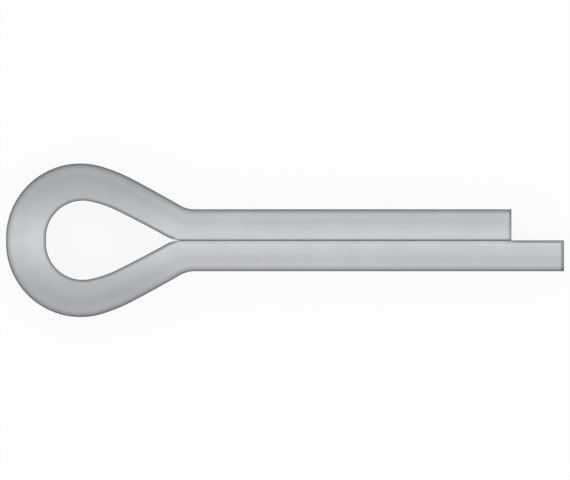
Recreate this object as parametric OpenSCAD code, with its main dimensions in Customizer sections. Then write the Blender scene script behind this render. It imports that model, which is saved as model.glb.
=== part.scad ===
// Split cotter pin, bent from one length of half-round wire. Lengths are in millimetres.
// The eye and both legs lie flat in XY. The origin is on the axis of the shank, at the end
// of the neck, where the two legs close into a full round. The legs run along +X.

/* [Shank and legs] */
// Diameter of the round shank that the two half-round legs make together
shank_d = 4.6; // [3.6:0.1:5.6]
// Length of the shank, from the end of the neck to the tip of the short leg
shank_l = 23.5; // [12:0.1:60]
// How far the long leg reaches past the tip of the short one
long_leg_extra = 3.9; // [1:0.1:10]
// Gap left between the flat faces of the closed legs
split_w = 0.05; // [0.03:0.01:0.3]

/* [Eye] */
// Width across the outside of the eye
eye_w = 11.4; // [10:0.1:12.2]
// Length from the back of the eye to the end of the neck
eye_l = 14; // [13.2:0.1:17]
// Straight stretch across the back of the eye
back_flat = 0.35; // [0.1:0.05:2]
// Outside radius of the shoulder, between the back of the eye and each flank
shoulder_r = 13; // [9:0.1:18]
// Length of the flanks, which run from the shoulders to the neck, outside and inside
flank_l = 4; // [3:0.1:4.6]
// Radius of the flanks, which are bowed only slightly
flank_r = 100; // [60:5:200]
// Radius of the hollow of the neck, where each flank turns into its leg
neck_r = 2.2; // [1:0.05:3]

/* [Opening] */
// How much thicker the wire is than a leg, across the back of the eye
back_swell = 0.67; // [0.1:0.01:1.2]
// How much thicker the wire is than a leg, at the widest part of the eye
side_swell = 0.47; // [0.1:0.01:1]
// Straight stretch across the back of the opening
opening_back_flat = 0.4; // [0.1:0.05:2]
// Radius of the shoulder inside the opening
opening_shoulder_r = 8.8; // [6:0.1:14]
// Radius at the narrow end of the opening, where its flanks turn into the split
throat_r = 2.3; // [1:0.05:3]
// Length of the neck over which the two flat faces are already closed
closed_l = 1; // [0.2:0.05:2]

/* [Hidden] */
$fn = 96;

shank_r = shank_d / 2;
leg_t = (shank_d - split_w) / 2;
back_t = leg_t + back_swell;
side_t = leg_t + side_swell;
outside_r = (eye_w - back_flat) / 2;
opening_r = eye_w / 2 - side_t - opening_back_flat / 2;

// The wire is taken this much deeper than its thickest place, and what is too much is cut off
spare = 0.3;
wire_t = leg_t + max(back_swell, side_swell) + spare;
cut_t = wire_t - leg_t + spare;

// A whole number of thousandths
function thousandths(x) = round(x * 1000) / 1000;

function toward(angle) = [cos(angle), sin(angle)];

// Angle between the sides a and b of a triangle, opposite its side c
function corner(a, b, c) = acos((a * a + b * b - c * c) / (2 * a * b));

// One side of an outline is four arcs, each tangent to the next: the back of the eye, a
// shoulder, a flank and the end arc, which turns the other way into the line y = end_at.y
// at end_at. Two triangles give the directions of the joints. The corners of one are the
// centres of the back, the shoulder and the end arc, and those of the other are the
// centres of the shoulder, the flank and the end arc.
// Gives the centre and the radius of each arc, and the directions that it lies between.
function side_arcs(back_x, flat, back_r, shoulder_r, end_r, end_at) =
    let(
        end_centre = end_at + [0, end_r],
        way = end_centre - [back_x + back_r, flat / 2],
        to_shoulder = shoulder_r - back_r,
        to_flank = flank_r - shoulder_r,
        to_end = flank_r + end_r,
        turn = thousandths(flank_l / flank_r * 180 / PI),
        span = [to_end - to_flank * cos(turn), to_flank * sin(turn)],
        shoulder_from = thousandths(
            180 + atan2(way.y, way.x) - corner(to_shoulder, norm(way), norm(span))),
        end_from = thousandths(
            shoulder_from - corner(to_shoulder, norm(span), norm(way))
            + atan2(span.y, span.x)),
        flank_from = end_from + turn,
        flank_centre = end_centre - to_end * toward(end_from),
        shoulder_centre = flank_centre + to_flank * toward(flank_from),
        back_centre = shoulder_centre + to_shoulder * toward(shoulder_from)
    )
    [
        [back_centre, back_r, shoulder_from, 180],
        [shoulder_centre, shoulder_r, flank_from, shoulder_from],
        [flank_centre, flank_r, end_from, flank_from],
        [end_centre, end_r, end_from + 180, 270]
    ];

// Moves by whole thousandths first and then by the rest, which keeps every joint tight
module at(place) {
    whole = [thousandths(place.x), thousandths(place.y)];
    translate(whole)
        translate(place - whole)
            children();
}

// Carries a section round the centre of an arc, from one of its directions to the other
module bend(arc) {
    at(arc[0])
        rotate_extrude(angle = arc[3] - arc[2], start = arc[2])
            translate([arc[1], 0])
                children();
}

// Carries a section along one side of an outline and on along its leg. The section's X
// points away from the opening, and its Y becomes Z. The straight stretch at the back runs
// on past the middle of the eye, so that the two halves share a length of it.
module along_side(back_x, flat, back_r, shoulder_r, end_r, end_at, leg_l, past_middle) {
    arcs = side_arcs(back_x, flat, back_r, shoulder_r, end_r, end_at);
    back_l = flat / 2 + past_middle;
    at(arcs[0][0] - [back_r, back_l])
        rotate([90, 0, 180])
            linear_extrude(back_l)
                children();
    for (arc = [arcs[0], arcs[1], arcs[2]])
        bend(arc)
            children();
    bend(arcs[3])
        mirror([1, 0])
            children();
    at(end_at)
        rotate([90, 0, 90])
            linear_extrude(leg_l)
                children();
}

// Round back of the wire, from its outermost line to a little past its flat face
module wire_section() {
    intersection() {
        translate([-shank_r, 0])
            circle(shank_r);
        translate([-wire_t, -shank_r])
            square([wire_t, shank_d]);
    }
}

// What the flat face clears, from that face inwards
module flat_section() {
    translate([-cut_t, -shank_d])
        square([cut_t, 2 * shank_d]);
}

// Half of the pin, on the +Y side: one side of the eye and one leg of the given length
module half_pin(leg_l) {
    difference() {
        along_side(-eye_l, back_flat, outside_r, shoulder_r, neck_r,
                   [0, shank_r], leg_l, back_flat / 4)
            wire_section();
        along_side(back_t - eye_l, opening_back_flat, opening_r, opening_shoulder_r,
                   throat_r, [-closed_l, split_w / 2], closed_l + leg_l + spare,
                   back_flat / 2)
            flat_section();
    }
}

module cotter_pin() {
    color([0.75, 0.77, 0.78]) {
        half_pin(shank_l);
        mirror([0, 1, 0])
            half_pin(shank_l + long_leg_extra);
    }
}

cotter_pin();
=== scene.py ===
import math
from collections import namedtuple

import bpy
import numpy as np
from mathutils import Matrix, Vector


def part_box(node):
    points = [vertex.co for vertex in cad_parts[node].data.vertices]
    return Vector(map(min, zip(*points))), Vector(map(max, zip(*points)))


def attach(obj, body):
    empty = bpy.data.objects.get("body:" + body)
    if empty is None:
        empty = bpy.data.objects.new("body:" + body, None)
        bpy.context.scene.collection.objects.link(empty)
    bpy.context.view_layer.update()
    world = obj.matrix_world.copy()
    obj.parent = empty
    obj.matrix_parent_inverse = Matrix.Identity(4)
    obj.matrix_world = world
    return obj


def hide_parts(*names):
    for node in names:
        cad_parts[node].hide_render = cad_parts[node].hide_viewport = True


bl_info = {
    "name": "Split Cotter Pin",
    "version": (1, 0, 0),
    "blender": (4, 5, 0),
    "location": "3D View > Sidebar > Cotter Pin",
    "description": "Bends a split cotter pin from half-round wire, plates it and sets a plain studio",
    "category": "Add Mesh",
}

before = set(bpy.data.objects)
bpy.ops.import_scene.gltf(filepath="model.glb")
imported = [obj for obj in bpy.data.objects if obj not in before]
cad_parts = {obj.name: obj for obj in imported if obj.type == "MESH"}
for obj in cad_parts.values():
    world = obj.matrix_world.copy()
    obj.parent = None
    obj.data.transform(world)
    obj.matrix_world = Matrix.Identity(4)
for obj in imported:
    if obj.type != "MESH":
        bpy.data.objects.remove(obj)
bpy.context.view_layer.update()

NODE = "cotter_pin"
MM = 0.001
# The frame's mesh has facets, so its box is a hair narrower than the true rounds are
LOW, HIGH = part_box(NODE)
TENTHS_OF_MM = 4
BACK_X, LONG_TIP_X = round(LOW.x, TENTHS_OF_MM), round(HIGH.x, TENTHS_OF_MM)
SIDE_Y, TOP_Z = round(HIGH.y, TENTHS_OF_MM), round(HIGH.z, TENTHS_OF_MM)
FLOOR_Z = LOW.z


# ---------------------------------------------------------------------------------------
# Sizes and colours
# ---------------------------------------------------------------------------------------

def length_prop(name, description, default, **limits):
    """A length in metres, shown in the scene's unit."""
    return bpy.props.FloatProperty(
        name=name, description=description, default=default,
        unit="LENGTH", subtype="DISTANCE", precision=5, **limits)


def colour_prop(name, description, default):
    """A linear colour."""
    return bpy.props.FloatVectorProperty(
        name=name, description=description, default=default,
        subtype="COLOR", size=3, min=0.0, max=1.0)


def factor_prop(name, description, default, top=1.0):
    """A plain number from 0 to top."""
    return bpy.props.FloatProperty(
        name=name, description=description, default=default,
        subtype="FACTOR", min=0.0, max=top)


class PinSizes(bpy.types.PropertyGroup):
    """Driving sizes of the pin. The overall ones start as the frame has them."""

    shank_d: length_prop(
        "Shank", "Diameter of the round that the two closed legs make", 2 * TOP_Z)
    short_leg_l: length_prop(
        "Short leg", "From the end of the neck to the tip of the short leg", 23.5 * MM)
    long_leg_l: length_prop(
        "Long leg", "From the end of the neck to the tip of the long leg", LONG_TIP_X)
    split_w: length_prop(
        "Split", "Gap between the flat faces of the closed legs", 0.05 * MM)
    eye_l: length_prop(
        "Eye length", "From the back of the eye to the end of the neck", -BACK_X)
    eye_w: length_prop(
        "Eye width", "Across the outside of the eye", 2 * SIDE_Y)
    back_flat: length_prop(
        "Back flat", "Straight stretch across the back of the eye", 0.35 * MM)
    shoulder_r: length_prop(
        "Shoulder radius", "Outside radius between the back of the eye and a flank", 13 * MM)
    flank_l: length_prop(
        "Flank length", "From a shoulder to the neck, outside and inside", 4 * MM)
    flank_r: length_prop(
        "Flank radius", "Radius of the flanks, which are bowed only slightly", 100 * MM)
    neck_r: length_prop(
        "Neck radius", "Radius of the hollow where a flank turns into its leg", 2.2 * MM)
    back_swell: length_prop(
        "Back swell", "How much thicker than a leg the wire is at the back", 0.67 * MM)
    side_swell: length_prop(
        "Side swell", "How much thicker than a leg the wire is at the sides", 0.47 * MM)
    opening_back_flat: length_prop(
        "Opening back flat", "Straight stretch at the back of the opening", 0.4 * MM)
    opening_shoulder_r: length_prop(
        "Opening shoulder radius", "Radius of the shoulder inside the opening", 8.8 * MM)
    throat_r: length_prop(
        "Throat radius", "Radius where the opening's flanks turn into the split", 2.3 * MM)
    closed_l: length_prop(
        "Closed neck", "Length of the neck whose flat faces are closed", 1.0 * MM)
    edge_r: length_prop(
        "Edge radius", "Rounding where the flat face meets the round back", 0.08 * MM)
    tip_r: length_prop(
        "Tip radius", "Rounding that the shears leave round each tip, less than the edge radius",
        0.07 * MM)
    flat_crown: length_prop(
        "Flat crown", "How far the flat face bulges at its middle, less than half the split",
        0.020 * MM)


class PinFinish(bpy.types.PropertyGroup):
    """Colours and strengths of the zinc plating."""

    zinc: colour_prop(
        "Zinc", "Clean satin plating", (0.646, 0.675, 0.697))
    # Painted shade: the darker plating below is mixed in towards the sides and on the flat faces. It
    # is also the dull tone of the plating's clouds and of the torn tips.
    shade_and_dull_zinc: colour_prop(
        "Dull zinc", "Plating where the forming dies rubbed it", (0.447, 0.470, 0.489))
    # Painted shade: the dark colour below is mixed in along the edges, the tips' rims and the split's
    # groove. It is also the dark tone of the broad drawn streaks.
    shade_and_streak_zinc: colour_prop(
        "Burnt zinc", "Darker deposit along the edges", (0.262, 0.280, 0.294))
    violet_zinc: colour_prop(
        "Violet zinc", "Cast of the thicker film where the bath ran off", (0.60, 0.525, 0.61))
    edge_tint: factor_prop(
        "Glancing tint", "What is left of the shine at a glancing angle", 0.10)
    roughness: factor_prop(
        "Roughness", "Roughness of clean plating", 0.26)


class StageSettings(bpy.types.PropertyGroup):
    """Floor, light and camera."""

    paper: colour_prop(
        "Paper", "Floor and backdrop", (0.95, 0.95, 0.95))
    paper_glow: factor_prop(
        "Paper glow", "Share of plain white in the paper, as it is seen", 0.90)
    top_light: factor_prop(
        "Top light", "Strength of the light from straight above", 0.98, 10.0)
    end_light: factor_prop(
        "End light", "Strength of the light from low beyond the pin's ends", 0.935, 10.0)
    side_light: factor_prop(
        "Side light", "Strength of the light from low at the pin's sides", 0.855, 10.0)
    view_w: length_prop(
        "View width", "Width of the camera's view", 42.29 * MM)
    view_x: length_prop(
        "View centre X", "The camera's place along the pin", 6.70 * MM)
    view_y: length_prop(
        "View centre Y", "The camera's place across the pin", 0.02 * MM)


# ---------------------------------------------------------------------------------------
# Paths: rows of straight stretches and arcs, as whole arrays
# ---------------------------------------------------------------------------------------

Path = namedtuple("Path", "begins points headings bends")

NEWTON_STEPS = 12


def chord(length, heading, bend):
    """The straight step from one end of an arc to the other. Half the angle that the arc
    turns is h = length * bend / 2. The step is length * sin(h) / h long and points along
    heading + h. A straight stretch is an arc whose bend, 1 over its radius, is 0."""
    half = length * bend / 2
    reach = length * np.sinc(half / np.pi)
    return np.stack([reach * np.cos(heading + half), reach * np.sin(heading + half)], -1)


def lay_path(start, heading, stretches):
    """A path from stretches of (length, bend). Each begins where the one before it ends,
    at the heading that it ends with, so the whole path is smooth."""
    lengths, bends = np.array(stretches).T
    begins = np.concatenate([[0.0], np.cumsum(lengths)])
    headings = heading + np.concatenate([[0.0], np.cumsum(lengths * bends)])
    steps = chord(lengths, headings[:-1], bends)
    points = np.array(start) + np.concatenate([np.zeros((1, 2)), np.cumsum(steps, 0)])
    return Path(begins, points, headings, bends)


def walk(path, s):
    """Point and heading at each distance s along the path."""
    at = np.clip(np.searchsorted(path.begins, s, "right") - 1, 0, len(path.bends) - 1)
    rest = s - path.begins[at]
    point = path.points[at] + chord(rest, path.headings[at], path.bends[at])
    return point, path.headings[at] + rest * path.bends[at]


def corner(a, b, c):
    """Angle between the sides a and b of a triangle, opposite its side c."""
    return math.acos((a * a + b * b - c * c) / (2 * a * b))


def side_stretches(back_x, flat, back_r, shoulder_r, flank, end_r, end_at):
    """One side of an outline, from the middle of the eye's back to its end arc's end, as
    stretches of (length, bend). It is half of the back's flat and four arcs, each
    tangent to the next. The centres of the back, the shoulder and the end arc make a
    triangle, and so do those of the shoulder, the flank and the end arc. Their corners
    give the joints. The flank is (length, radius)."""
    flank_l, flank_r = flank
    end_centre = np.array(end_at) + (0, end_r)
    way = end_centre - (back_x + back_r, flat / 2)
    to_shoulder, to_flank, to_end = shoulder_r - back_r, flank_r - shoulder_r, flank_r + end_r
    turn = flank_l / flank_r
    span = (to_end - to_flank * math.cos(turn), to_flank * math.sin(turn))
    distance, reach = math.hypot(*way), math.hypot(*span)
    shoulder_from = math.pi + math.atan2(way[1], way[0]) - corner(to_shoulder, distance, reach)
    end_from = shoulder_from - corner(to_shoulder, reach, distance)
    end_from = end_from + math.atan2(span[1], span[0])
    return [
        (flat / 2, 0.0),
        (back_r * (math.pi - shoulder_from), 1 / back_r),
        (shoulder_r * (shoulder_from - end_from - turn), 1 / shoulder_r),
        (flank_l, 1 / flank_r),
        (end_r * (math.pi / 2 - end_from), -1 / end_r),
    ]


def whole_path(side, end_at, short_l, long_l):
    """The path of one outline from the tip of the short leg, on +Y, round the eye and
    out to the tip of the long leg, on -Y."""
    start = (end_at[0] + short_l, end_at[1])
    return lay_path(start, math.pi, [(short_l, 0.0), *side[::-1], *side, (long_l, 0.0)])


def outlines(sizes):
    """The outer path of the wire and the path of its flat face."""
    outer_end = (0.0, sizes.shank_d / 2)
    flank = (sizes.flank_l, sizes.flank_r)
    leg_t = (sizes.shank_d - sizes.split_w) / 2
    outer_side = side_stretches(
        -sizes.eye_l, sizes.back_flat, (sizes.eye_w - sizes.back_flat) / 2,
        sizes.shoulder_r, flank, sizes.neck_r, outer_end)
    outer = whole_path(outer_side, outer_end, sizes.short_leg_l, sizes.long_leg_l)
    inner_end = (-sizes.closed_l, sizes.split_w / 2)
    opening_r = (sizes.eye_w - sizes.opening_back_flat) / 2 - leg_t - sizes.side_swell
    inner_side = side_stretches(
        leg_t + sizes.back_swell - sizes.eye_l, sizes.opening_back_flat, opening_r,
        sizes.opening_shoulder_r, flank, sizes.throat_r, inner_end)
    inner = whole_path(
        inner_side, inner_end,
        sizes.short_leg_l + sizes.closed_l, sizes.long_leg_l + sizes.closed_l)
    return outer, inner


def wire_thickness(outer, inner, s):
    """Thickness of the wire at each distance s along its outer path: how far in, square
    to that path, its flat face lies. The place w on the inner path is found by Newton's
    method, from the place with the same share of the same stretch."""
    point, heading = walk(outer, s)
    ahead = np.stack([np.cos(heading), np.sin(heading)], -1)
    inwards = np.stack([-ahead[:, 1], ahead[:, 0]], -1)
    w = np.interp(s, outer.begins, inner.begins)
    for _ in range(NEWTON_STEPS):
        foot, foot_heading = walk(inner, w)
        short = ((point - foot) * ahead).sum(-1)
        w = w + short / np.cos(foot_heading - heading)
    return ((walk(inner, w)[0] - point) * inwards).sum(-1)


# ---------------------------------------------------------------------------------------
# The bent wire
# ---------------------------------------------------------------------------------------

# Points round the wire's profile: half of the flat face, an edge, the round back
FLAT_STEPS, EDGE_STEPS, ROUND_STEPS = 8, 10, 88
# Steps along each stretch from a tip's rounding to the middle of the eye's back, of which
# the first is short, for what fades out beside a tip
STRETCH_STEPS = [6, 44, 26, 24, 26, 72, 3]
TIP_STEPS, FACE_RINGS = 9, 22
# How far the torn part of a tip leans back from the burnished part
TORN_DEPTH = 0.05 * MM
# How high it begins, how much that line waves and how soft it is, as shares of the radius
TEAR_Z, TEAR_WAVE, TEAR_BLUR = 0.16, 0.06, 0.22
# How far the painted shade along the edges fades out beside an edge, and along the wire beside a tip
EDGE_FADE, TIP_FADE = 0.10 * MM, 0.15 * MM
# The share of that painted shade taken off the edges of the closed split, how wide the split is where
# none is taken off, and how far from the short leg's tip it begins to be taken off
CLOSED_SPLIT_CUT, OPEN_W, CLOSED_SPLIT_CUT_FADE = 0.75, 0.15 * MM, 0.3 * MM
# How squarely the surface has to face -Y, where the bath ran off, for its film to thicken
FILM_FROM = 0.35
# How far from its edges the painted shade on the flat face is not full yet
FLAT_SHADE_FADE = 0.5 * MM
# The unrolled wire lies on its map as strips, this many side by side, this far apart
STRIPS, STRIP_PITCH, STRIP_GAP = 3, 14 * MM, 0.5 * MM

# The name of the wire's own map
UNROLLED = "OFBake"

Wire = namedtuple("Wire", "points place edge torn film rolled girth on_tip")


def ramp(begin, end, steps):
    """steps values from begin up to, and not including, end, down a new last axis."""
    share = np.arange(steps) / steps
    return np.asarray(begin)[..., None] * (1 - share) + np.asarray(end)[..., None] * share


def smooth(x):
    """0 below 0 and 1 above 1, with an even S between."""
    x = np.clip(x, 0, 1)
    return x * x * (3 - 2 * x)


def wire_profile(round_r, flat_x, edge_r, crown):
    """Profile of half-round wire, one row for each row of its sizes. X is outwards from
    the centre of the round back, and Z is up. The round back is an arc of round_r about
    (0, 0), the flat face is the line X = flat_x, and each edge is an arc of edge_r
    tangent to both, so its centre is edge_r from the flat and round_r - edge_r from
    (0, 0). The flat bulges by crown * (1 - t^2), where t goes from 0 at its middle to 1 at
    its ends. The loop goes up the flat, over the upper edge, round the back and home.
    Gives X, Z, how far each point is from an edge and whether it is on the flat face."""
    edge_x = flat_x + edge_r
    edge_z = np.sqrt((round_r - edge_r) ** 2 - edge_x ** 2)
    turn = np.arctan2(edge_z, edge_x)
    flat_up = ramp(0 * edge_z, edge_z, FLAT_STEPS)
    flat_home = ramp(-edge_z, 0 * edge_z, FLAT_STEPS)
    upper = ramp(0 * turn + math.pi, turn, EDGE_STEPS)
    back = ramp(turn, -turn, ROUND_STEPS)
    lower = ramp(-turn, 0 * turn - math.pi, EDGE_STEPS)
    flat_x, edge_x, edge_z, edge_r, round_r, turn = [
        a[:, None] for a in (flat_x, edge_x, edge_z, edge_r, round_r, turn)]
    x = np.concatenate([
        flat_x - crown * (1 - (flat_up / edge_z) ** 2),
        edge_x + edge_r * np.cos(upper),
        round_r * np.cos(back),
        edge_x + edge_r * np.cos(lower),
        flat_x - crown * (1 - (flat_home / edge_z) ** 2)], 1)
    z = np.concatenate([
        flat_up, edge_z + edge_r * np.sin(upper), round_r * np.sin(back),
        edge_r * np.sin(lower) - edge_z, flat_home], 1)
    from_edge = np.concatenate([
        edge_z - flat_up, 0 * upper, round_r * (turn - np.abs(back)), 0 * lower,
        edge_z + flat_home], 1)
    on_flat = np.arange(x.shape[1])
    on_flat = (on_flat < FLAT_STEPS) | (on_flat >= x.shape[1] - FLAT_STEPS)
    return x, z, from_edge, on_flat


def stations(path, tip_r):
    """Rows of the grid: the distance s of each along the outer path, how far its profile
    is drawn in, and how much of it is left as it closes a tip. A tip is rounded by a
    quarter circle of tip_r: at the angle b it is tip_r * (1 - sin b) short of the end and
    drawn in by tip_r * (1 - cos b). Its face is the last profile, shrunk evenly."""
    total = path.begins[-1]
    near_tip = np.array([tip_r, tip_r + 2 * TIP_FADE])
    joints = np.concatenate([near_tip, path.begins[1:-1], total - near_tip[::-1]])
    body = np.concatenate([
        ramp(begin, end, steps) for begin, end, steps
        in zip(joints[:-1], joints[1:], STRETCH_STEPS + STRETCH_STEPS[::-1])])[1:]
    b = np.linspace(0, math.pi / 2, TIP_STEPS)
    short, drawn_in = tip_r * (1 - np.sin(b)), tip_r * (1 - np.cos(b))
    face = 1 - np.arange(1, FACE_RINGS) / FACE_RINGS
    s = np.concatenate([0 * face, short[::-1], body, total - short, 0 * face + total])
    inset = np.concatenate([
        0 * face + tip_r, drawn_in[::-1], 0 * body, drawn_in, 0 * face + tip_r])
    left = np.concatenate([face[::-1], 1 + 0 * short, 1 + 0 * body, 1 + 0 * short, face])
    return s, inset, left


def torn_share(x, z, reach):
    """Where the shears, which come down through the wire, leave a tip torn. Its upper
    part is burnished and level, 0, and below a wavy line the steel broke away, 1."""
    line = (TEAR_Z + TEAR_WAVE * np.sin(3.7 * x / reach + 0.7)) * reach
    return smooth((line - z) / (TEAR_BLUR * reach))


def bent_wire(sizes):
    """The whole pin as a grid of points, with its masks. The row at the distance s has the outer
    path's point P and outward normal n there, and its profile point (X, Z) lands at P + (X - round_r)
    * n, at the height Z. On the tips' faces the torn part leans back by TORN_DEPTH. The wire's own
    place is (s, X, Z). The edge mask, of painted shade along the edges and in the split, is exp(-(d /
    fade)^3) at the distance d from an edge, less a share on the closed split. The film mask grows
    with the part of the round back's normal, n * X / round_r, along -Y. The flat-face mask, of
    painted shade on the flat face, is 1 there and fades out towards its edges and its tips."""
    outer, inner = outlines(sizes)
    round_r = sizes.shank_d / 2
    s, inset, left = stations(outer, sizes.tip_r)
    point, heading = walk(outer, s)
    flat_x = round_r - wire_thickness(outer, inner, s)
    x, z, from_edge, on_flat = wire_profile(
        round_r - inset, flat_x + inset, sizes.edge_r - inset, sizes.flat_crown)
    on_tip = left < 1
    middle = x.mean(1, keepdims=True)
    x, z = middle + left[:, None] * (x - middle), left[:, None] * z

    torn = torn_share(x, z, round_r) * on_tip[:, None]
    from_rim = (1 - left[:, None]) * round_r
    lean = TORN_DEPTH * torn * smooth(from_rim / sizes.edge_r)
    ahead = np.stack([np.cos(heading), np.sin(heading)], -1)[:, None]
    outward = np.stack([np.sin(heading), -np.cos(heading)], -1)[:, None]
    inwards = np.where(s < s[-1] / 2, 1.0, -1.0)[:, None]
    flat = point[:, None] + (x - round_r)[..., None] * outward
    flat = flat + (lean * inwards)[..., None] * ahead

    from_tip = np.maximum(np.minimum(s, s[-1] - s) - sizes.tip_r, 0)[:, None]
    # Painted shade along the edges, round the tips' rims and in the split, less on the closed split
    faded = np.minimum(from_edge / EDGE_FADE, from_tip / TIP_FADE)
    faded = np.where(on_tip[:, None], from_rim / EDGE_FADE, faded)
    closed = smooth(1 - (2 * np.abs(flat[:, :1, 1]) - sizes.split_w) / OPEN_W)
    closed = closed * (flat[:, :1, 0] > -sizes.eye_l / 2)
    beside_leg = smooth((sizes.short_leg_l - point[:, :1]) / CLOSED_SPLIT_CUT_FADE)
    return Wire(
        points=np.concatenate([flat, z[..., None]], -1),
        place=np.stack([s[:, None] + 0 * x, x, z], -1),
        edge=np.exp(-faded ** 3) * (1 - CLOSED_SPLIT_CUT * closed * beside_leg),
        torn=torn,
        film=smooth((-outward[..., 1] * x / round_r - FILM_FROM) / (1 - FILM_FROM)),
        # Painted shade on the flat face, which is the walls of the split and of the opening
        rolled=on_flat * smooth(np.minimum(from_edge, from_tip) / FLAT_SHADE_FADE),
        girth=np.hypot(np.diff(x, axis=1, append=x[:, :1]), np.diff(z, axis=1, append=z[:, :1])),
        on_tip=on_tip)


def closed_faces(rows, columns):
    """Faces of a grid whose columns close into a loop: quads, and one face on each end."""
    index = np.arange(rows * columns).reshape(rows, columns)
    after = np.roll(index, -1, axis=1)
    quads = np.stack([index[:-1], after[:-1], after[1:], index[1:]], -1).reshape(-1, 4)
    return quads.tolist() + [index[0, ::-1].tolist(), index[-1].tolist()]


def store(mesh, name, values):
    """Keeps a value or a vector for each point of the mesh."""
    kind, key = ("FLOAT_VECTOR", "vector") if values.ndim == 3 else ("FLOAT", "value")
    layer = mesh.attributes.new(name, kind, "POINT")
    layer.data.foreach_set(key, values.astype(np.float32).ravel())


def unrolled_map(mesh, wire):
    """The wire's own map, all at one scale. The surface is unrolled, with U round the wire
    and V along it, and cut into strips that lie side by side: strip k starts at U = k *
    pitch and takes the k-th share of the length. The two tips' faces lie above them."""
    s, x, z = np.moveaxis(np.concatenate([wire.place, wire.place[:, :1]], 1), -1, 0)
    round_it = np.cumsum(wire.girth, 1)
    round_it = np.concatenate([0 * round_it[:, :1], round_it], 1)
    strip_l = s[-1, 0] / STRIPS
    strip = np.clip((s[:-1] + s[1:]) / 2 // strip_l, 0, STRIPS - 1)
    tip_u = STRIP_PITCH * (0.5 + (STRIPS - 1) * (s[:-1] > s[-1, 0] / 2))
    tip_v = strip_l + z.max() + 2 * STRIP_GAP
    on_tip = (wire.on_tip[:-1] | wire.on_tip[1:])[:, None] + np.zeros_like(strip, bool)

    def laid(rows):
        """U and V of the faces' corners that lie on these rows of points."""
        u = np.where(on_tip, tip_u + x[rows], strip * STRIP_PITCH + STRIP_GAP + round_it[rows])
        v = np.where(on_tip, tip_v + z[rows], s[rows] - strip * strip_l + STRIP_GAP)
        return np.stack([u, v], -1)

    low, high = laid(slice(None, -1)), laid(slice(1, None))
    quads = np.stack([low[:, :-1], low[:, 1:], high[:, 1:], high[:, :-1]], 2)
    corners = np.concatenate([quads.reshape(-1, 2), low[0, -2::-1], high[-1, :-1]])
    layer = mesh.uv_layers.new(name=UNROLLED)
    layer.data.foreach_set("uv", (corners / (STRIPS * STRIP_PITCH)).astype(np.float32).ravel())


# ---------------------------------------------------------------------------------------
# Finishes
# ---------------------------------------------------------------------------------------

# Sizes of grains in millimetres. Lines lie in the wire's own place, which is along the
# wire, across its thickness and up, and the others are as long every way.
FINE_LINES, BROAD_LINES = (7, 0.07, 0.07), (22, 0.30, 0.30)
SHEAR_LINES, CRUMBS = (1, 0.045, 3), (1, 0.09, 0.09)
CLOUDS, SMUDGES, CRYSTALS = (1.8, 1.8, 1.8), (2.4, 2.4, 2.4), (0.05, 0.05, 0.05)
# The painted shade towards the sides grows from one distance off the middle, Y = 0, to another, give
# or take what smudges add. The legs get this share of it, which grows to all of it from a little
# before the end of the neck to this far into the eye.
SIDE_SHADE_BEGINS, SIDE_SHADE_ENDS, SIDE_SHADE_SMUDGE = -0.4 * MM, 4.2 * MM, 1.2 * MM
LEG_SIDE_SHADE, FULL_SIDE_SHADE_BEGINS, FULL_SIDE_SHADE_ENDS = 0.65, -1.0 * MM, 5.0 * MM
# How dark the painted shade on the middle of the flat face is, and how dark the painted shade along
# an edge is
FLAT_SHADE_SHARE, EDGE_SHADE_SHARE = 0.9, 0.97
# How high a relief of 1 is
RELIEF = 0.0028 * MM

COLOUR, VECTOR, VALUE = "NodeSocketColor", "NodeSocketVector", "NodeSocketFloat"
# Places of a colour mix's own sockets among those that the node has for all kinds
MIX_SHARE, MIX_A, MIX_B, MIX_RESULT = 0, 6, 7, 2


def add(tree, kind, inputs=None, **settings):
    """A new node with its settings made and each given input linked to a socket or set."""
    made = tree.nodes.new(kind)
    for name, value in settings.items():
        setattr(made, name, value)
    for name, value in (inputs or {}).items():
        if isinstance(value, bpy.types.NodeSocket):
            tree.links.new(value, made.inputs[name])
        elif made.inputs[name].type == "RGBA":
            made.inputs[name].default_value = (*value, 1.0)
        else:
            made.inputs[name].default_value = value
    return made


def maths(tree, operation, a, b=0.0, c=0.0):
    """The result of one sum on two or three values or sockets."""
    return add(tree, "ShaderNodeMath", {0: a, 1: b, 2: c}, operation=operation).outputs[0]


def mixed(tree, share, a, b):
    """Colour a with a share of colour b. Any of them may be a socket."""
    made = add(tree, "ShaderNodeMix", {MIX_SHARE: share, MIX_A: a, MIX_B: b}, data_type="RGBA")
    return made.outputs[MIX_RESULT]


def rising(tree, value, begin, end):
    """0 where value is under begin, 1 where it is over end, with an even S between."""
    made = add(tree, "ShaderNodeMapRange", {
        "Value": value, "From Min": begin, "From Max": end}, interpolation_type="SMOOTHSTEP")
    return made.outputs["Result"]


def new_material(name):
    """An empty material, and its node tree."""
    mat = bpy.data.materials.new(name)
    mat.use_nodes = True
    mat.node_tree.nodes.clear()
    return mat, mat.node_tree


def new_group(name, inputs, outputs):
    """An empty node group with its sockets made. Gives the group, its input sockets by
    name and a function that links a result to one of its outputs."""
    tree = bpy.data.node_groups.new(name, "ShaderNodeTree")
    for socket, kind in inputs:
        tree.interface.new_socket(socket, in_out="INPUT", socket_type=kind)
    for socket, kind in outputs:
        tree.interface.new_socket(socket, in_out="OUTPUT", socket_type=kind)
    given, out = add(tree, "NodeGroupInput").outputs, add(tree, "NodeGroupOutput").inputs
    return tree, given, lambda name, value: tree.links.new(value, out[name])


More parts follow.
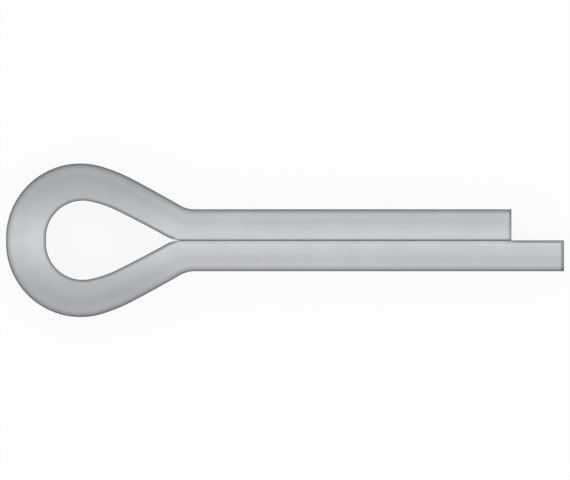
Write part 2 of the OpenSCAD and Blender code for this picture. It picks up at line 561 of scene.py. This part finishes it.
def grain_group():
    """Node group "grain": noise about 0, whose grains are as long as Size says on each
    axis of Place. Long thin grains are drawn lines, and even ones are a cloud."""
    tree, given, give = new_group(
        "grain", [("Place", VECTOR), ("Size", VECTOR), ("Detail", VALUE)], [("Level", VALUE)])
    grains = add(tree, "ShaderNodeVectorMath", {0: given["Place"], 1: given["Size"]},
                 operation="DIVIDE").outputs[0]
    noise = add(tree, "ShaderNodeTexNoise", {
        "Vector": grains, "Scale": 1.0, "Detail": given["Detail"], "Roughness": 0.55})
    give("Level", maths(tree, "SUBTRACT", noise.outputs["Fac"], 0.5))
    return tree


def grain(tree, grains, place, size, detail=2.0):
    """The level of one layer of grain, at this size in millimetres along each axis."""
    made = add(tree, "ShaderNodeGroup", {
        "Place": place, "Size": [MM * length for length in size], "Detail": detail},
        node_tree=grains)
    return made.outputs["Level"]


def zinc_group(grains):
    """Node group "zinc": the plating on any surface. Crystals cloud it from Clean towards Dull, it
    has a Violet cast under a thick film and painted shade darkens it along the edges. Edge and Film
    go from 0 to 1."""
    tree, given, give = new_group(
        "zinc",
        [("Place", VECTOR), ("Edge", VALUE), ("Film", VALUE), ("Clean", COLOUR),
         ("Dull", COLOUR), ("Shade", COLOUR), ("Violet", COLOUR), ("Roughness", VALUE)],
        [("Color", COLOUR), ("Roughness", VALUE), ("Height", VALUE)])
    cloud = grain(tree, grains, given["Place"], CLOUDS, 3.0)
    crystals = grain(tree, grains, given["Place"], CRYSTALS, 3.0)
    clouded = maths(tree, "MULTIPLY_ADD", cloud, 0.35, 0.075)
    tone = mixed(tree, clouded, given["Clean"], given["Dull"])
    thickened = maths(tree, "MULTIPLY", maths(tree, "MULTIPLY_ADD", cloud, 0.5, 0.25),
                      given["Film"])
    tone = mixed(tree, thickened, tone, given["Violet"])
    # Painted shade along the edges
    edge_shade = maths(tree, "MULTIPLY", given["Edge"], EDGE_SHADE_SHARE)
    give("Color", mixed(tree, edge_shade, tone, given["Shade"]))
    rough = maths(tree, "MULTIPLY_ADD", cloud, 0.14, given["Roughness"])
    give("Roughness", maths(tree, "MULTIPLY_ADD", given["Edge"], 0.06, rough))
    give("Height", maths(tree, "MULTIPLY", crystals, 0.5))
    return tree


def attribute(tree, name, output="Fac"):
    """A value or vector that the mesh keeps for each point."""
    return add(tree, "ShaderNodeAttribute", attribute_name=name).outputs[output]


def plating(tree, zinc, finish, clean):
    """The outputs of the plating on this material, whose clean colour is a socket."""
    place = add(tree, "ShaderNodeTexCoord").outputs["Object"]
    return add(tree, "ShaderNodeGroup", {
        "Place": place, "Edge": attribute(tree, "edge"), "Film": attribute(tree, "film"),
        "Clean": clean, "Dull": finish.shade_and_dull_zinc, "Shade": finish.shade_and_streak_zinc,
        "Violet": finish.violet_zinc, "Roughness": finish.roughness},
        node_tree=zinc).outputs


def metal(tree, finish, colour, roughness, height):
    """The metal itself. Its shine is stretched across the wire, which the lines run along,
    and darkens to the glancing tint where the surface turns away."""
    bump = add(tree, "ShaderNodeBump", {
        "Strength": 1.0, "Distance": RELIEF, "Height": height}).outputs[0]
    tangent = add(tree, "ShaderNodeTangent", direction_type="UV_MAP", uv_map=UNROLLED)
    surface = add(tree, "ShaderNodeBsdfPrincipled", {
        "Base Color": colour, "Metallic": 1.0, "Roughness": roughness, "Anisotropic": 0.5,
        "Specular Tint": [finish.edge_tint] * 3, "Normal": bump,
        "Tangent": tangent.outputs[0]})
    add(tree, "ShaderNodeOutputMaterial", {"Surface": surface.outputs[0]})


def plated_wire(finish, grains, zinc):
    """Satin zinc on drawn wire: fine and broad lines run along it from the drawing die. Painted shade
    darkens it towards its sides, away from the middle, Y = 0, less on the legs than on the eye.
    Painted shade also darkens its flat face, inside the split and the opening."""
    mat, tree = new_material("plated_wire")
    own = attribute(tree, "wire_place", "Vector")
    place = add(tree, "ShaderNodeTexCoord").outputs["Object"]
    fine = grain(tree, grains, own, FINE_LINES)
    broad = grain(tree, grains, own, BROAD_LINES)
    smudges = grain(tree, grains, place, SMUDGES)

    # Painted shade: the plating darkens towards the sides, with |Y|, fully in the eye and by a share
    # on the legs
    split = add(tree, "ShaderNodeSeparateXYZ", {0: place}).outputs
    aside = maths(tree, "ABSOLUTE", split["Y"])
    aside = maths(tree, "MULTIPLY_ADD", smudges, SIDE_SHADE_SMUDGE, aside)
    into_eye = maths(tree, "MULTIPLY", split["X"], -1.0)
    side_shade_share = rising(tree, into_eye, FULL_SIDE_SHADE_BEGINS, FULL_SIDE_SHADE_ENDS)
    side_shade_share = maths(tree, "MULTIPLY_ADD", side_shade_share, 1 - LEG_SIDE_SHADE, LEG_SIDE_SHADE)
    side_shade = maths(tree, "MULTIPLY", rising(tree, aside, SIDE_SHADE_BEGINS, SIDE_SHADE_ENDS), side_shade_share)
    # Painted shade on the flat face
    rolled = maths(tree, "MULTIPLY", attribute(tree, "rolled"), FLAT_SHADE_SHARE)
    darkened = maths(tree, "MAXIMUM", side_shade, rolled)
    clean = mixed(tree, darkened, finish.zinc, finish.shade_and_dull_zinc)
    streaks = maths(tree, "MAXIMUM", maths(tree, "MULTIPLY", broad, 0.35), 0.0)
    plated = plating(tree, zinc, finish, mixed(tree, streaks, clean, finish.shade_and_streak_zinc))

    rough = maths(tree, "MULTIPLY_ADD", fine, 0.10, plated["Roughness"])
    rough = maths(tree, "MULTIPLY_ADD", darkened, 0.05, rough)
    height = maths(tree, "MULTIPLY_ADD", fine, 0.8, plated["Height"])
    height = maths(tree, "MULTIPLY_ADD", broad, 1.6, height)
    metal(tree, finish, plated["Color"], rough, height)
    return mat


def sheared_tip(finish, grains, zinc):
    """A tip's face, sheared before it was plated. The blades burnished its upper part and
    left fine upright lines there, and its lower part tore and is rough and dull."""
    mat, tree = new_material("sheared_tip")
    own = attribute(tree, "wire_place", "Vector")
    torn = attribute(tree, "torn")
    lines = grain(tree, grains, own, SHEAR_LINES)
    crumbs = grain(tree, grains, own, CRUMBS, 4.0)
    darkened = maths(tree, "MULTIPLY_ADD", crumbs, 0.8, maths(tree, "MULTIPLY_ADD", torn, 0.4, 0.4))
    clean = mixed(tree, darkened, finish.zinc, finish.shade_and_dull_zinc)
    plated = plating(tree, zinc, finish, clean)

    rough = maths(tree, "MULTIPLY_ADD", torn, 0.16, plated["Roughness"])
    relief = maths(tree, "MULTIPLY", crumbs, 6.0)
    relief = add(tree, "ShaderNodeMix", {"Factor": torn, "A": lines, "B": relief})
    height = maths(tree, "ADD", relief.outputs[0], plated["Height"])
    metal(tree, finish, plated["Color"], rough, height)
    return mat


# ---------------------------------------------------------------------------------------
# Stage
# ---------------------------------------------------------------------------------------

PAPER_HALF = 0.6
CAMERA_Z = 0.1
WHITE = (1.0, 1.0, 1.0)


def paper_material(stage):
    """Pale paper that takes shadows. The camera, and metal that mirrors it, also see a
    share of plain white in it, which lights nothing."""
    mat, tree = new_material("paper")
    ray = add(tree, "ShaderNodeLightPath").outputs
    mirrored = maths(tree, "MAXIMUM", ray["Is Glossy Ray"], ray["Is Transmission Ray"])
    seen = maths(tree, "MAXIMUM", ray["Is Camera Ray"], mirrored)
    paper = add(tree, "ShaderNodeBsdfDiffuse", {"Color": stage.paper})
    white = add(tree, "ShaderNodeEmission", {"Color": WHITE, "Strength": 1.0})
    surface = add(tree, "ShaderNodeMixShader", {
        0: maths(tree, "MULTIPLY", seen, stage.paper_glow),
        1: paper.outputs[0], 2: white.outputs[0]})
    add(tree, "ShaderNodeOutputMaterial", {"Surface": surface.outputs[0]})
    return mat


def soft_sky(stage):
    """A plain white sky. The squares of a direction's X, Y and Z add up to 1, so they
    share out the strengths at the ends, at the sides and on top. Under the floor, where
    only the camera looks, it is plain white."""
    world = bpy.data.worlds.new("soft_sky")
    world.use_nodes = True
    tree = world.node_tree
    tree.nodes.clear()
    way = add(tree, "ShaderNodeTexCoord").outputs["Generated"]
    shares = add(tree, "ShaderNodeVectorMath", {0: way, 1: way}, operation="MULTIPLY")
    light = add(tree, "ShaderNodeVectorMath", {
        0: shares.outputs[0], 1: (stage.end_light, stage.side_light, stage.top_light)},
        operation="DOT_PRODUCT")
    height = add(tree, "ShaderNodeSeparateXYZ", {0: way}).outputs["Z"]
    strength = add(tree, "ShaderNodeMix", {
        "Factor": maths(tree, "LESS_THAN", height, 0.0), "A": light.outputs["Value"], "B": 1.0})
    sky = add(tree, "ShaderNodeBackground", {"Color": WHITE, "Strength": strength.outputs[0]})
    add(tree, "ShaderNodeOutputWorld", {"Surface": sky.outputs[0]})
    return world


def overhead_lens(stage):
    """A lens without perspective, which looks straight down where it stands unturned."""
    lens = bpy.data.cameras.new("overhead")
    lens.type = "ORTHO"
    lens.ortho_scale = stage.view_w
    lens.clip_start, lens.clip_end = 0.001, 10
    return lens


# ---------------------------------------------------------------------------------------
# Operators, panel and run
# ---------------------------------------------------------------------------------------

def place_new(scene, name, data):
    """Puts a new object in the scene, in the place of one that an earlier run left."""
    if name in bpy.data.objects:
        bpy.data.objects.remove(bpy.data.objects[name])
    made = bpy.data.objects.new(name, data)
    scene.collection.objects.link(made)
    return made


class COTTERPIN_OT_bend_wire(bpy.types.Operator):
    """Bend the half-round wire into the eye and its two closed legs, and plate it"""

    bl_idname = "cotterpin.bend_wire"
    bl_label = "Bend Wire"

    def execute(self, context):
        sizes, finish = context.scene.pin_sizes, context.scene.pin_finish
        if sizes.tip_r >= sizes.edge_r:
            raise ValueError("The tip radius has to be less than the edge radius")
        if sizes.flat_crown >= sizes.split_w / 2:
            raise ValueError("The flat crown has to be less than half the split")
        wire = bent_wire(sizes)
        rows, columns = wire.edge.shape
        mesh = bpy.data.meshes.new("bent_wire")
        mesh.from_pydata(wire.points.reshape(-1, 3).tolist(), [], closed_faces(rows, columns))
        mesh.polygons.foreach_set("use_smooth", np.ones(len(mesh.polygons), bool))
        store(mesh, "wire_place", wire.place)
        store(mesh, "edge", wire.edge)
        store(mesh, "torn", wire.torn)
        store(mesh, "film", wire.film)
        store(mesh, "rolled", wire.rolled)
        unrolled_map(mesh, wire)
        grains = grain_group()
        zinc = zinc_group(grains)
        mesh.materials.append(plated_wire(finish, grains, zinc))
        mesh.materials.append(sheared_tip(finish, grains, zinc))
        on_tip = np.append(np.repeat(wire.on_tip[:-1] | wire.on_tip[1:], columns), [True] * 2)
        mesh.polygons.foreach_set("material_index", on_tip.astype(np.int32))
        piece = place_new(context.scene, "bent_wire", mesh)
        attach(piece, "root")
        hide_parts(NODE)
        return {"FINISHED"}


class COTTERPIN_OT_set_stage(bpy.types.Operator):
    """Set the paper floor, the soft light and the camera"""

    bl_idname = "cotterpin.set_stage"
    bl_label = "Set Stage"

    def execute(self, context):
        scene = context.scene
        stage = scene.pin_stage
        corners = np.array([(-1, -1), (1, -1), (1, 1), (-1, 1)]) * PAPER_HALF
        mesh = bpy.data.meshes.new("paper")
        mesh.from_pydata([(x, y, FLOOR_Z) for x, y in corners.tolist()], [], [(0, 1, 2, 3)])
        mesh.materials.append(paper_material(stage))
        place_new(scene, "paper", mesh)
        scene.world = soft_sky(stage)
        scene.camera = place_new(scene, "overhead", overhead_lens(stage))
        scene.camera.location = (stage.view_x, stage.view_y, CAMERA_Z)
        scene.view_settings.view_transform = "Standard"
        return {"FINISHED"}


class COTTERPIN_PT_bench(bpy.types.Panel):
    """Lists the pin's sizes and finish and the stage, each with its operator"""

    bl_idname = "COTTERPIN_PT_bench"
    bl_label = "Split Cotter Pin"
    bl_space_type = "VIEW_3D"
    bl_region_type = "UI"
    bl_category = "Cotter Pin"

    def draw(self, context):
        scene = context.scene
        for operator, groups in (
                ("cotterpin.bend_wire", (scene.pin_sizes, scene.pin_finish)),
                ("cotterpin.set_stage", (scene.pin_stage,))):
            box = self.layout.box()
            for values in groups:
                for name in values.__annotations__:
                    box.prop(values, name)
            box.operator(operator)


GROUPS = {"pin_sizes": PinSizes, "pin_finish": PinFinish, "pin_stage": StageSettings}
CLASSES = (*GROUPS.values(), COTTERPIN_OT_bend_wire, COTTERPIN_OT_set_stage, COTTERPIN_PT_bench)


def register():
    """Registers the classes and gives each scene its sizes, finish and stage."""
    for cls in CLASSES:
        bpy.utils.register_class(cls)
    for name, cls in GROUPS.items():
        setattr(bpy.types.Scene, name, bpy.props.PointerProperty(type=cls))


def unregister():
    """Takes away what register made."""
    for name in GROUPS:
        delattr(bpy.types.Scene, name)
    for cls in reversed(CLASSES):
        bpy.utils.unregister_class(cls)


def main():
    """Makes the pin and its stage."""
    register()
    bpy.ops.cotterpin.bend_wire()
    bpy.ops.cotterpin.set_stage()


if __name__ == "__main__":
    main()
